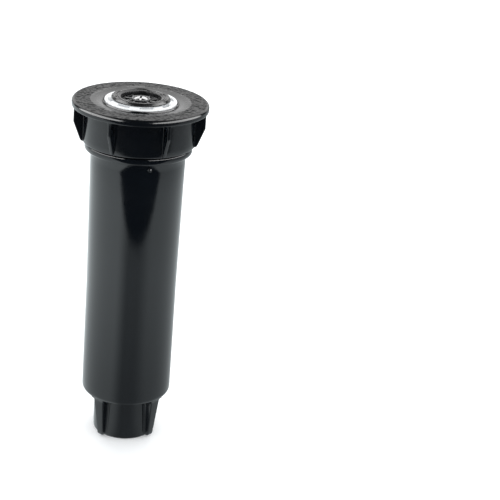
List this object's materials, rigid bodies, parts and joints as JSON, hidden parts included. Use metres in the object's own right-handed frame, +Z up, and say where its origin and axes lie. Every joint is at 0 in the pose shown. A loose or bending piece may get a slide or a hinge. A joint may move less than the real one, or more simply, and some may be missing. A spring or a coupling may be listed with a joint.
{
  "type": "pop up sprinkler",
  "caption": "Pop up spray sprinkler: black case and screwed cap, white riser head, adjustable spray nozzle and a spring retracted riser.",
  "frame": {"origin": "centre of the inlet's bottom face, on the riser's axis", "axes": "+Z up along the riser's axis towards the nozzle, -Y is the front that faces the viewer"},
  "size_m": [0.0572, 0.0572, 0.1544],
  "materials": {
    "case_black": "glossy moulded black plastic",
    "cap_black": "glossy moulded black plastic, stippled on the rim's top",
    "nozzle_black": "satin moulded black plastic",
    "dark_acetal": "satin dark grey acetal",
    "head_white": "satin white acetal",
    "riser_white": "satin white moulded plastic",
    "filter_white": "natural moulded plastic",
    "filter_screen": "fine woven polyester screen",
    "seal_rubber": "matt black moulded rubber",
    "spring_steel": "drawn stainless wire",
    "screw_steel": "bright turned stainless steel"
  },
  "bodies": {
    "case": {"case_body": "case_black"},
    "seal_pack": {"cap_gasket": "seal_rubber", "seal_retainer": "dark_acetal", "wiper_seal": "seal_rubber", "spring_seat": "spring_steel", "retract_spring": "spring_steel"},
    "cap": {"cap": "cap_black"},
    "ratchet": {"ratchet_ring": "dark_acetal"},
    "riser": {"riser_stem": "riser_white", "riser_foot": "dark_acetal", "foot_seal": "seal_rubber", "riser_head": "head_white", "nozzle_gasket": "seal_rubber", "nozzle_base": "nozzle_black", "deflector": "nozzle_black", "filter_basket": "filter_white", "filter_mesh": "filter_screen"},
    "arc_collar": {"arc_collar": "nozzle_black"},
    "radius_screw": {"radius_screw": "screw_steel"},
    "throttle": {"throttle_plug": "head_white"}
  },
  "joints": [
    {"name": "cap_rise", "type": "slide", "parent": "case", "child": "seal_pack", "axis": [0, 0, 1], "range_m": [0, 0.01001]},
    {"name": "cap_turn", "type": "hinge", "parent": "seal_pack", "child": "cap", "pos_m": [0, 0, 0.1424], "axis": [0, 0, 1], "range_deg": [0, 900]},
    {"name": "pop_up", "type": "slide", "parent": "seal_pack", "child": "ratchet", "axis": [0, 0, 1], "range_m": [0, 0.097], "stiffness_N_per_m": 200, "springref_m": -0.05, "deforming": ["retract_spring"]},
    {"name": "riser_turn", "type": "hinge", "parent": "ratchet", "child": "riser", "pos_m": [0, 0, 0.1], "axis": [0, 0, 1], "continuous": true},
    {"name": "arc_set", "type": "hinge", "parent": "riser", "child": "arc_collar", "pos_m": [0, 0, 0.1524], "axis": [0, 0, 1], "range_deg": [0, 350]},
    {"name": "radius_turn", "type": "hinge", "parent": "riser", "child": "radius_screw", "pos_m": [0, 0, 0.1524], "axis": [0, 0, -1], "range_deg": [0, 1440]},
    {"name": "throttle_slide", "type": "slide", "parent": "riser", "child": "throttle", "axis": [0, 0, -1], "range_m": [0, 0.0028]}
  ],
  "couplings": [
    {"joint": "cap_rise", "follows": "cap_turn", "m_per_rad": 0.00063662},
    {"joint": "radius_turn", "follows": "throttle_slide", "rad_per_m": 8975.9}
  ]
}
